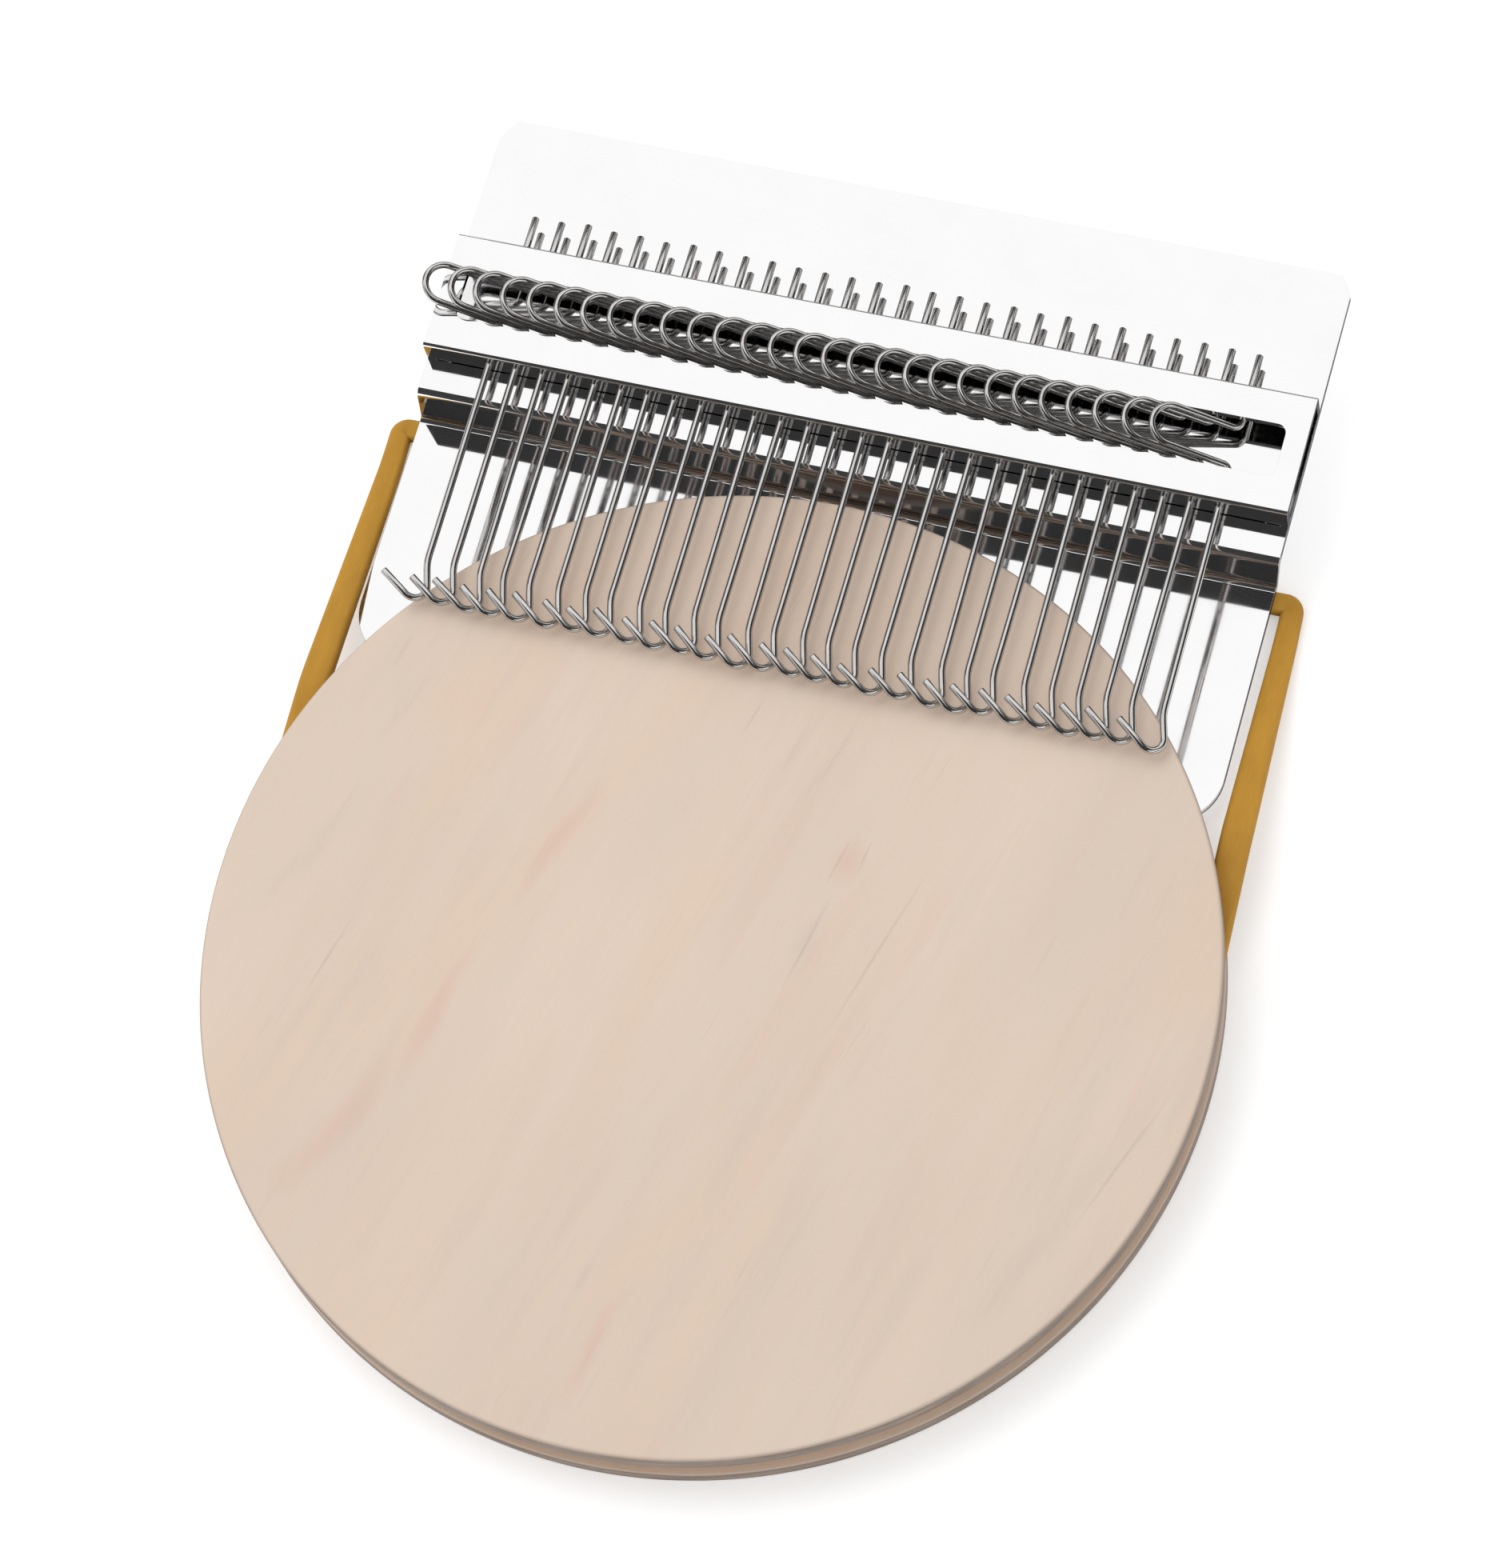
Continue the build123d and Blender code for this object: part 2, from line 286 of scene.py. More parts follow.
# Marks in the wood: two places on its face and the half width, all in millimetres.
WOOD_LINES = (
    ((-1.3, 7.3), (-2.1, 4.5), 0.12),
    ((7.3, -1.5), (6.4, -5.2), 0.14),
    ((8.7, -1.4), (8.4, -3.7), 0.12),
    ((7.1, -5.9), (5.5, -13.6), 0.16),
    ((13.0, -2.9), (9.3, -15.7), 0.16),
    ((-24.7, -14.5), (-26.4, -21.0), 0.14),
    ((32.9, -14.8), (29.0, -24.8), 0.16),
)
WOOD_STREAKS = (
    ((-10.7, -0.9), (-14.0, -11.1), 0.9),
    ((-15.9, -15.1), (-18.3, -25.6), 1.1),
    ((-19.1, -23.8), (-23.7, -34.8), 1.5),
    ((0.9, -35.8), (-0.7, -44.7), 0.8),
    ((8.0, -1.5), (7.4, -4.8), 1.3),
)
WOOD_GLOWS = (
    ((7.3, -20.2), (0.7, -38.2), 2.4),
    ((-20.8, 6.4), (-24.6, -0.7), 2.2),
    ((11.9, -39.8), (10.5, -44.9), 1.2),
)
WOOD_SHADES = (
    ((33.4, -12.8), (25.2, -31.8), 1.6),
    ((-26.3, -4.7), (-30.8, -15.4), 1.4),
    ((7.4, -6.5), (6.2, -12.0), 1.2),
    ((-1.4, -34.4), (-2.3, -36.8), 0.6),
)


def dimmed(colour, share):
    """The colour with its light taken down to a share."""
    return tuple(share * channel for channel in colour)


def wood_finish(disc):
    """Pale close-grained hardwood: soft clouds, pinkish and cool streaks and fine fibres."""
    wood = Finish("turned_wood")

    def field(x, y, z, shift=(0.0, 0.0, 0.0), *settings):
        """Noise with grains of this size in millimetres that lie along the wood's grain."""
        size = (x * MM, y * MM, z * MM)
        return wood.noise(wood.stretched(size, disc.grain_angle, shift), *settings)

    clouds = field(13, 34, 9)
    peach_field = field(7, 30, 9, (9.1, 3.3, 0.0), 2.0, 0.5, 0.4)
    warm_field = field(2.6, 26, 6, (3.1, 0.4, 0.0), 2.0, 0.5, 0.5)
    warm_area = field(12, 26, 11, (7.7, 2.0, 0.0), 1.0)
    cool_field = field(2.0, 17, 5, (1.3, 5.2, 0.0), 3.0, 0.55, 0.3)
    cool_area = field(16, 22, 11, (2.2, 8.4, 0.0), 1.0)
    line_field = field(0.55, 9, 3, (4.3, 1.9, 0.0), 2.0, 0.5, 0.2)
    line_area = field(8, 11, 8, (5.6, 6.1, 0.0), 1.0)
    fibres = field(0.22, 5, 0.6, (0.0, 0.0, 0.0), 4.0, 0.65)
    pores = field(0.1, 1.1, 0.2, (0.0, 3.0, 0.0))

    peach = wood.ramp(peach_field, (0.48, 0.0), (0.66, 1.0))
    warm = wood.ramp(warm_field, (0.54, 0.0), (0.70, 1.0)) * wood.ramp(warm_area, (0.46, 0.0), (0.60, 1.0))
    cool = wood.ramp(cool_field, (0.52, 0.0), (0.74, 1.0)) * wood.ramp(cool_area, (0.40, 0.2), (0.62, 1.0))
    lines = wood.ramp(line_field, (0.62, 0.0), (0.74, 1.0)) * wood.ramp(line_area, (0.50, 0.0), (0.62, 1.0))
    flecks = wood.ramp(pores, (0.66, 0.0), (0.78, 1.0))
    colour = wood.mix(wood.ramp(clouds, (0.35, 0.0), (0.65, 1.0)), disc.pale, dimmed(disc.pale, 0.94))
    colour = wood.mix(peach * 0.5 + wood.marks(WOOD_GLOWS) * 0.5, colour, disc.peach)
    colour = wood.mix(warm * 0.25 + wood.marks(WOOD_STREAKS) * 0.6, colour, disc.warm)
    colour = wood.mix(cool * 0.35 + wood.marks(WOOD_SHADES) * 0.3, colour, disc.grey)
    colour = wood.mix(lines * 0.07 + wood.marks(WOOD_LINES) * 0.15, colour, disc.rim)
    colour = wood.mix(wood.ramp(fibres, (0.42, 0.0), (0.80, 0.16)), colour, disc.grey)
    colour = wood.mix(flecks * 0.10, colour, disc.rim)

    z = wood.node("ShaderNodeSeparateXYZ", None, {0: wood.place()}, output="Z")
    level = abs(z - (DISC_LOW.z + DISC_HIGH.z) / 2) / (DISC_HIGH.z - DISC_LOW.z)
    # Painted shade: where the groove lies, the rim's colour is darkened towards the groove colour.
    groove = 1.0 - wood.ramp(level, (0.16, 0.0), (0.20, 1.0))
    # Faces that turn sideways take the rim colour: the end grain's own tone together with painted shade.
    normal = wood.node("ShaderNodeNewGeometry", output="Normal")
    upright = wood.node("ShaderNodeSeparateXYZ", None, {0: normal}, output="Z")
    side = 1.0 - wood.ramp(abs(upright), (0.25, 0.0), (0.95, 1.0))
    rings = wood.noise(wood.stretched((5 * MM, 5 * MM, 0.35 * MM), shift=(2.0, 0.0, 0.0)), 3.0)
    rim = wood.mix(wood.ramp(rings, (0.35, 0.0), (0.7, 0.35)), disc.rim, disc.grey)
    rim = wood.mix(groove * 0.8, rim, disc.groove)
    colour = wood.mix(side * 0.9, colour, rim)
    return wood.surface(
        Base_Color=colour,
        Roughness=0.52 + 0.16 * fibres,
        Normal=wood.bump(fibres * 0.6 + pores * 0.4, 0.02 * MM, 0.35),
        Specular_IOR_Level=0.35,
    )


def sheet_finish(steel):
    """Mirror-polished sheet steel: faint polishing lines, a slow ripple and small scratches."""
    sheet = Finish("polished_sheet")
    ripple = sheet.noise(sheet.stretched((14 * MM, 9 * MM, 9 * MM)), 1.0)
    lines = sheet.noise(sheet.stretched((6 * MM, 0.05 * MM, 0.05 * MM)), 3.0, 0.7)
    smears = sheet.noise(sheet.stretched((5 * MM, 4 * MM, 4 * MM), 0.4), 3.0, 0.6)
    roughness = 0.035 + 0.05 * sheet.ramp(smears, (0.4, 0.0), (0.75, 1.0)) + 0.03 * lines
    haze = sheet.ramp(smears, (0.3, 0.0), (0.8, 0.35))
    return sheet.surface(
        Base_Color=sheet.mix(haze, steel.bright, dimmed(steel.bright, 0.93)),
        Metallic=1.0,
        Roughness=roughness,
        Normal=sheet.bump(ripple + lines * 0.004, 0.03 * MM, 0.5),
        Specular_Tint=steel.glancing,
    )


def wire_finish(steel):
    """Bright drawn wire: fine draw lines along it and a slightly uneven polish."""
    wire = Finish("drawn_wire")
    lines = wire.noise(wire.stretched((0.06 * MM, 4 * MM, 0.06 * MM)), 3.0, 0.6)
    patches = wire.noise(wire.stretched((1.5 * MM, 2.5 * MM, 1.5 * MM)), 2.0)
    haze = wire.ramp(patches, (0.35, 0.0), (0.75, 0.6))
    return wire.surface(
        Base_Color=wire.mix(haze, steel.drawn, dimmed(steel.drawn, 0.75)),
        Metallic=1.0,
        Roughness=0.08 + 0.08 * lines + 0.05 * patches,
        Normal=wire.bump(lines, 0.004 * MM, 0.4),
        Specular_Tint=dimmed(steel.drawn, 0.3),
    )


def rubber_finish(band):
    """Matt rubber: cloudy tone and fine lines from the cut, with a faint sheen painted lighter along those
    lines.
    """
    rubber = Finish("band_rubber")
    clouds = rubber.noise(rubber.stretched((2.2 * MM, 6 * MM, 2 * MM)), 3.0)
    cuts = rubber.noise(rubber.stretched((0.12 * MM, 1.6 * MM, 0.3 * MM)), 3.0, 0.6)
    grains = rubber.noise(rubber.stretched((0.15 * MM, 0.15 * MM, 0.15 * MM)), 2.0)
    patches = rubber.ramp(clouds, (0.35, 0.0), (0.7, 1.0))
    colour = rubber.mix(patches, dimmed(band.colour, 0.82), band.colour)
    # Painted sheen: the cut lines are painted lighter.
    colour = rubber.mix(rubber.ramp(cuts, (0.55, 0.0), (0.8, 0.35)), colour, band.painted_sheen)
    return rubber.surface(
        Base_Color=colour,
        Roughness=0.55 + 0.2 * grains,
        Normal=rubber.bump(cuts * 0.7 + grains * 0.3, 0.03 * MM, 0.5),
        Specular_IOR_Level=0.3,
    )


def rounded(points, radii, step=ARC_STEP):
    """Flat line through the points with each inner corner rounded. It returns the points with
    their normals, which lie to the left of the line's direction."""
    line = []
    corners = [Vector(point) for point in points]
    for number, corner in enumerate(corners):
        ends = number in (0, len(corners) - 1)
        before = (corner - corners[number - 1]).normalized() if number else None
        after = (corners[number + 1] - corner).normalized() if number < len(corners) - 1 else None
        if ends or radii[number - 1] == 0:
            way = before or after
            line.append((corner, Vector((-way.y, way.x))))
            continue
        turn = -before.angle_signed(after)
        radius = radii[number - 1]
        tangent = radius * math.tan(abs(turn) / 2)
        start = corner - before * tangent
        left = Vector((-before.y, before.x))
        centre = start + left * math.copysign(radius, turn)
        steps = max(2, math.ceil(abs(turn) / step))
        for index in range(steps + 1):
            spin = Matrix.Rotation(turn * index / steps, 2)
            line.append((centre + spin @ (start - centre), spin @ left))
    return line


def mesh_from(name, vertices, faces, smooth=True):
    mesh = bpy.data.meshes.new(name)
    mesh.from_pydata(vertices, [], faces)
    mesh.validate()
    builder = bmesh.new()
    builder.from_mesh(mesh)
    bmesh.ops.recalc_face_normals(builder, faces=builder.faces)
    builder.to_mesh(mesh)
    builder.free()
    if smooth:
        mesh.shade_smooth()
    else:
        mesh.shade_flat()
    return mesh


def add_object(name, mesh):
    made = bpy.data.objects.new(name, mesh)
    bpy.context.scene.collection.objects.link(made)
    return made


def dress(piece, material, slot, body, *nodes):
    """Gives a piece its finish, the body it rides on and the nodes that it stands for."""
    piece.data.materials.clear()
    piece.data.materials.append(material)
    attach(piece, body)
    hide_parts(*nodes)
    return piece


def settle(piece):
    """Replaces the piece's mesh by its evaluated one, with no modifiers left."""
    graph = bpy.context.evaluated_depsgraph_get()
    done = bpy.data.meshes.new_from_object(piece.evaluated_get(graph))
    piece.modifiers.clear()
    piece.data = done
    return piece


def cut(piece, cutters):
    """Takes the cutters' shapes out of the piece."""
    for cutter in cutters:
        modifier = piece.modifiers.new("cut", "BOOLEAN")
        modifier.operation = "DIFFERENCE"
        modifier.solver = "EXACT"
        modifier.object = cutter
    settle(piece)
    for cutter in cutters:
        bpy.data.objects.remove(cutter)


def break_edges(piece, width):
    """Breaks the sharp edges and weights the normals, so that flat faces stay flat mirrors."""
    bevel = piece.modifiers.new("edges", "BEVEL")
    bevel.width = width
    bevel.segments = 2
    bevel.limit_method = "ANGLE"
    bevel.angle_limit = SHARP_ANGLE
    normals = piece.modifiers.new("normals", "WEIGHTED_NORMAL")
    normals.weight = 100
    return settle(piece)


def box_cutter(low, high):
    """A closed box between two corners, as a cutter."""
    xs, ys, zs = zip(low, high)
    vertices = [(x, y, z) for x in xs for y in ys for z in zs]
    faces = [(0, 1, 3, 2), (4, 6, 7, 5), (0, 4, 5, 1), (2, 3, 7, 6), (0, 2, 6, 4), (1, 5, 7, 3)]
    return add_object("cutter", mesh_from("cutter", vertices, faces, False))


def prism(name, outline, along, smooth=True):
    """A closed prism: the outline's points, and the same points moved along."""
    count = len(outline)
    vertices = [Vector(point) for point in outline] + [Vector(point) + Vector(along) for point in outline]
    faces = [tuple(range(count)), tuple(range(2 * count - 1, count - 1, -1))]
    faces += [(i, (i + 1) % count, (i + 1) % count + count, i + count) for i in range(count)]
    return mesh_from(name, vertices, faces, smooth)


def ring_faces(sides, rings):
    """Faces of a tube between rings of points. Rings are given by number, in order."""
    faces = []
    for ring, after in zip(rings, rings[1:]):
        for side in range(sides):
            turn = (side + 1) % sides
            faces.append((
                ring * sides + side, ring * sides + turn, after * sides + turn, after * sides + side,
            ))
    return faces


class LOOM_OT_wooden_disc(bpy.types.Operator):
    """Turns the wooden disc with its groove and softened edges"""

    bl_idname = "loom.wooden_disc"
    bl_label = "Wooden disc"

    RING_STEPS = 360
    RIM_ARC_STEP = math.radians(15)
    # Radii of the rings on the faces, as shares of the disc's radius.
    FACE_RINGS = (0.25, 0.5, 0.75, 0.9)
    # Roundings of the groove's lips and floor, as shares of the rounding of the disc's edge.
    LIP_ROUND = 0.4
    FLOOR_ROUND = 0.5

    def execute(self, context):
        disc = context.scene.loom_disc
        low, high = DISC_LOW.z, DISC_HIGH.z
        middle = (low + high) / 2
        groove_top = middle + disc.groove_width / 2
        groove_bottom = middle - disc.groove_width / 2
        inside = DISC_RADIUS - disc.groove_depth
        soft = disc.edge_round
        lip, floor = self.LIP_ROUND * soft, self.FLOOR_ROUND * soft
        corners = [
            (DISC_RADIUS * self.FACE_RINGS[-1], high), (DISC_RADIUS, high), (DISC_RADIUS, groove_top),
            (inside, groove_top), (inside, groove_bottom), (DISC_RADIUS, groove_bottom),
            (DISC_RADIUS, low), (DISC_RADIUS * self.FACE_RINGS[-1], low),
        ]
        radii = (soft, lip, floor, floor, lip, soft)
        rim = [point for point, _ in rounded(corners, radii, self.RIM_ARC_STEP)]
        top = [Vector((DISC_RADIUS * share, high)) for share in self.FACE_RINGS[:-1]]
        bottom = [Vector((DISC_RADIUS * share, low)) for share in self.FACE_RINGS[-2::-1]]
        outline = top + rim + bottom
        piece = add_object("turned_disc", self.lathe(outline, high, low))
        dress(piece, wood_finish(disc), "disc_wood", "root", "wooden_disc")
        return {"FINISHED"}

    def lathe(self, outline, high, low):
        steps = self.RING_STEPS
        vertices = [(DISC_CENTRE.x, DISC_CENTRE.y, high)]
        for radius, level in outline:
            for step in range(steps):
                angle = 2 * math.pi * step / steps
                x = DISC_CENTRE.x + radius * math.cos(angle)
                y = DISC_CENTRE.y + radius * math.sin(angle)
                vertices.append((x, y, level))
        last = len(vertices)
        vertices.append((DISC_CENTRE.x, DISC_CENTRE.y, low))
        faces = [(0, 1 + step, 1 + (step + 1) % steps) for step in range(steps)]
        for ring in range(len(outline) - 1):
            start = 1 + ring * steps
            faces += [
                (start + s, start + steps + s, start + steps + (s + 1) % steps, start + (s + 1) % steps)
                for s in range(steps)
            ]
        start = last - steps
        faces += [(last, start + (step + 1) % steps, start + step) for step in range(steps)]
        return mesh_from("turned_disc", vertices, faces)


class LOOM_OT_rubber_band(bpy.types.Operator):
    """Stretches the rubber band round the groove and under the tongue"""

    bl_idname = "loom.rubber_band"
    bl_label = "Rubber band"

    GROOVE_STEPS = 150
    EDGE_STEPS = 3
    SEAT_GAP = 0.05 * MM
    CORNER_RADIUS = 0.55 * MM
    TAPER_START = 20.0 * MM
    LEAST_TURN = 0.01
    LIP_GAP = 1.7 * MM
    DROP_END = 3.0 * MM
    BEND_RADIUS = 12.5 * MM

    def execute(self, context):
        band = context.scene.loom_band
        disc = context.scene.loom_disc
        path = self.path(band, disc)
        half = Vector((band.width / 2, band.thickness / 2))
        soft = band.edge_round
        outline = []
        for sx, sz in ((1, -1), (1, 1), (-1, 1), (-1, -1)):
            start = math.atan2(sz, sx) - math.pi / 4
            for step in range(self.EDGE_STEPS + 1):
                angle = start + math.pi / 2 * step / self.EDGE_STEPS
                x = sx * (half.x - soft) + soft * math.cos(angle)
                z = sz * (half.y - soft) + soft * math.sin(angle)
                outline.append((x, z))
        piece = add_object("stretched_band", self.loop(path, outline, band))
        dress(piece, rubber_finish(band), "band_rubber", "root", "rubber_band")
        return {"FINISHED"}

    def path(self, band, disc):
        """Points on the band's middle line, from the groove's left end round to it again."""
        inner = DISC_RADIUS - disc.groove_depth + self.SEAT_GAP
        radius = inner + band.width / 2
        groove_floor = (DISC_LOW.z + DISC_HIGH.z - disc.groove_width) / 2
        high = groove_floor + self.SEAT_GAP + band.thickness / 2
        low = BAND_LOW.z + band.thickness / 2
        crossing = BAND_HIGH.y - band.head_width / 2
        sides = []
        left_edge = PLATE_LOW.x - BAND_LEFT_GAP - band.head_width / 2
        right_edge = PLATE_HIGH.x + BAND_RIGHT_GAP + band.head_width / 2
        for side, edge in ((-1, left_edge), (1, right_edge)):
            corner = Vector((edge, crossing)) - DISC_CENTRE.xy
            angle = math.atan2(corner.y, corner.x) - side * math.acos(radius / corner.length)
            start = Vector((radius * math.cos(angle), radius * math.sin(angle)))
            leave = math.sqrt(DISC_RADIUS**2 - inner**2) + self.LIP_GAP
            length = (corner - start).length
            levels = [(0, high), (leave, high), (length - self.DROP_END, low), (length, low)]
            drop = rounded(levels, (self.BEND_RADIUS,) * 2)
            sides.append((start, angle % (2 * math.pi), corner, drop))
        (left, left_angle, left_corner, left_drop), (right, right_angle, right_corner, right_drop) = sides
        spread = right_angle + 2 * math.pi - left_angle
        steps = self.GROOVE_STEPS
        points = []
        for step in range(steps):
            angle = left_angle + spread * step / steps
            points.append(Vector((radius * math.cos(angle), radius * math.sin(angle), high)))
        right_way = (right_corner - right).normalized()
        for point, _ in right_drop[:-1]:
            points.append((right + right_way * point.x).to_3d() + Vector((0, 0, point.y)))
        corners = [right, right_corner, left_corner, left]
        turned = rounded(corners, (self.CORNER_RADIUS,) * 2)[1:-1]
        points += [Vector((point.x, point.y, low)) for point, _ in turned]
        left_way = (left_corner - left).normalized()
        for point, _ in left_drop[-2:0:-1]:
            points.append((left + left_way * point.x).to_3d() + Vector((0, 0, point.y)))
        return [point + Vector((DISC_CENTRE.x, DISC_CENTRE.y, 0)) for point in points]

    def turning_radius(self, before, point, after):
        """Radius of the bend seen from above, which is endless where the path runs straight."""
        first, second = (point - before).xy, (after - point).xy
        turn = first.angle(second)
        if turn < self.LEAST_TURN:
            return math.inf
        return (first.length + second.length) / 2 / turn

    def share(self, y, band):
        """The rubber's width at this place along the loom, as a share of its width round the disc."""
        start, end = DISC_CENTRE.y + self.TAPER_START, BAND_HIGH.y - band.head_width
        part = min(max((y - start) / (end - start), 0.0), 1.0)
        return 1.0 + part * (band.head_width / band.width - 1.0)

    def loop(self, path, outline, band):
        count, sides = len(path), len(outline)
        vertices = []
        for number, point in enumerate(path):
            way = (path[(number + 1) % count] - path[number - 1]).normalized()
            across = way.cross(Vector((0, 0, 1))).normalized()
            upward = across.cross(way)
            # The inner side never passes the middle of its bend.
            inner = -self.turning_radius(path[number - 1], point, path[(number + 1) % count])
            share = self.share(point.y, band)
            vertices += [point + across * max(share * x, inner) + upward * z for x, z in outline]
        return mesh_from("stretched_band", vertices, ring_faces(sides, [*range(count), 0]))


class LOOM_OT_base_plate(bpy.types.Operator):
    """Bends the base plate: handle, shelf, step wall and tongue"""

    bl_idname = "loom.base_plate"
    bl_label = "Base plate"

    TONGUE_CORNER = 4.0 * MM
    CORNER_STEPS = 14
    REAR_CORNER = Vector((0.9, 1.6)) * MM
    FOOT_BEND = 0.45 * MM
    CREST_BEND = 0.03 * MM
    TAB_GAP = 0.05 * MM

    def execute(self, context):
        steel = context.scene.loom_steel
        sheet = steel.plate_sheet
        half = sheet / 2
        low, high = PLATE_LOW, PLATE_HIGH
        step = CHANNEL_LOW.y - SHELF_DEPTH + (high.z - low.z - sheet) * STEP_SLOPE
        foot = step + half * math.hypot(1, STEP_SLOPE) + half * STEP_SLOPE
        crest = foot - (high.z - low.z - sheet) * STEP_SLOPE
        line = rounded(
            [(low.y, low.z + half), (foot, low.z + half), (crest, high.z - half), (high.y, high.z - half)],
            (self.FOOT_BEND + half, self.CREST_BEND + half),
        )
        line = self.with_corner_points(line)
        vertices = []
        for point, normal in line:
            inset = self.inset(point.x)
            down = (high.z - half - point.y) / (high.z - low.z - sheet)
            for x in (low.x + inset - down * TONGUE_LEFT, high.x - inset - down * TONGUE_RIGHT):
                for face in (point + normal * half, point - normal * half):
                    vertices.append((x, face.x, face.y))
        count = len(line)
        faces = [(0, 1, 3, 2), tuple(4 * (count - 1) + i for i in (0, 2, 3, 1))]
        for i in range(count - 1):
            a, b = 4 * i, 4 * (i + 1)
            faces += [
                (a, a + 2, b + 2, b), (a + 1, b + 1, b + 3, a + 3),
                (a, b, b + 1, a + 1), (a + 2, a + 3, b + 3, b + 2),
            ]
        piece = add_object("bent_plate", mesh_from("bent_plate", vertices, faces))
        around = Vector((self.TAB_GAP, self.TAB_GAP, sheet))
        cut(piece, [box_cutter(start - around, end + around) for start, end in tab_boxes(steel)])
        break_edges(piece, steel.edge_break)
        dress(piece, sheet_finish(steel), "plate_steel", "root", "base_plate")
        return {"FINISHED"}

    def inset(self, y):
        """How far the plate's side lies inside its full width at this place along the loom."""
        front = y - PLATE_LOW.y
        rear = PLATE_HIGH.y - y
        radius = self.TONGUE_CORNER
        if front < radius:
            return radius - math.sqrt(max(0.0, radius**2 - (radius - front) ** 2))
        if rear < self.REAR_CORNER.y:
            return self.REAR_CORNER.x * (1 - rear / self.REAR_CORNER.y)
        return 0.0

    def with_corner_points(self, line):
        """Adds places along the line where the tongue's corners and the rear corners need them."""
        front, rear = line[0], line[-1]
        radius = self.TONGUE_CORNER
        quarter, steps = math.pi / 2, self.CORNER_STEPS
        rounds = [radius * (1 - math.cos(quarter * step / steps)) for step in range(1, steps + 1)]
        extra = [(front[0] + Vector((distance, 0)), front[1]) for distance in rounds]
        chamfer = (rear[0] - Vector((self.REAR_CORNER.y, 0)), rear[1])
        return [front, *extra, *line[1:-1], chamfer, rear]


def tab_boxes(steel):
    """The two corners of each tab between the channel's feet and the plate."""
    sheet = steel.channel_sheet
    tops = PLATE_HIGH.z
    under = tops - steel.plate_sheet
    boxes = []
    for x in (CHANNEL_LOW.x + FOOT_LENGTH - TAB_LENGTH, CHANNEL_HIGH.x - FOOT_LENGTH):
        for y in (CHANNEL_LOW.y, CHANNEL_HIGH.y - sheet):
            boxes.append((Vector((x, y, under)), Vector((x + TAB_LENGTH, y + sheet, tops))))
    return boxes


class LOOM_OT_hook_channel(bpy.types.Operator):
    """Bends the channel, cuts its slot and drills its holes"""

    bl_idname = "loom.hook_channel"
    bl_label = "Hook channel"

    BEND_OUTSIDE = 0.3 * MM
    BEND_INSIDE = 0.15 * MM
    SLOT_WIDTH = 4.0 * MM
    SLOT_CORNER = 0.7 * MM
    SLOT_REACH = 3.31 * MM
    RELIEF = 0.15 * MM
    HOLE_GAP = 0.05 * MM
    HOLE_SIDES = 24

    def execute(self, context):
        steel = context.scene.loom_steel
        sheet = steel.channel_sheet
        low, high = CHANNEL_LOW, CHANNEL_HIGH
        shelf = PLATE_HIGH.z
        outside = [(low.y, low.z), (low.y, high.z), (high.y, high.z), (high.y, low.z)]
        inside = [
            (low.y + sheet, low.z), (low.y + sheet, high.z - sheet), (high.y - sheet, high.z - sheet),
            (high.y - sheet, low.z),
        ]
        outline = [point for point, _ in rounded(outside, (self.BEND_OUTSIDE,) * 2)]
        outline += [point for point, _ in rounded(inside, (self.BEND_INSIDE,) * 2)][::-1]
        points = [(low.x, y, z) for y, z in outline]
        piece = add_object("slotted_channel", prism("slotted_channel", points, (high.x - low.x, 0, 0)))
        cut(piece, [*self.under_cutters(steel, shelf), self.slot_cutter(sheet)])
        cut(piece, [self.hole_cutter(joint, steel) for joint in HOOK_JOINTS])
        break_edges(piece, steel.edge_break)
        dress(piece, sheet_finish(steel), "channel_steel", "root", "hook_channel")
        return {"FINISHED"}

    def under_cutters(self, steel, shelf):
        """Boxes that leave the feet and their tabs below the two flanges."""
        low, high = CHANNEL_LOW, CHANNEL_HIGH
        deep = low.z - steel.channel_sheet
        front, rear = low.y - steel.channel_sheet, high.y + steel.channel_sheet
        inner = FOOT_LENGTH - TAB_LENGTH
        foot = FOOT_LENGTH
        return [
            box_cutter((low.x - inner, front, deep), (low.x + inner, rear, shelf)),
            box_cutter((high.x - inner, front, deep), (high.x + inner, rear, shelf)),
            box_cutter((low.x + foot, front, deep), (high.x - foot, rear, shelf + self.RELIEF)),
        ]

    def slot_cutter(self, sheet):
        middle = (CHANNEL_LOW.y + CHANNEL_HIGH.y) / 2
        first, last = HOOK_JOINTS[0]["pos_m"][0], HOOK_JOINTS[-1]["pos_m"][0]
        left, right = first - self.SLOT_REACH, last + self.SLOT_REACH
        front, rear = middle - self.SLOT_WIDTH / 2, middle + self.SLOT_WIDTH / 2
        centre = (left + right) / 2
        corners = [
            (centre, front), (right, front), (right, rear), (left, rear), (left, front), (centre, front),
        ]
        outline = [point for point, _ in rounded(corners, (self.SLOT_CORNER,) * 4)][:-1]
        points = [(x, y, CHANNEL_HIGH.z - 2 * sheet) for x, y in outline]
        return add_object("cutter", prism("cutter", points, (0, 0, 3 * sheet), False))

    def hole_cutter(self, joint, steel):
        x, _, z = joint["pos_m"]
        radius = steel.wire / 2 + self.HOLE_GAP
        start = CHANNEL_LOW.y - steel.channel_sheet
        length = CHANNEL_HIGH.y - CHANNEL_LOW.y + 2 * steel.channel_sheet
        angles = [2 * math.pi * side / self.HOLE_SIDES for side in range(self.HOLE_SIDES)]
        points = [(x + radius * math.cos(a), start, z + radius * math.sin(a)) for a in angles]
        return add_object("cutter", prism("cutter", points, (0, length, 0), False))


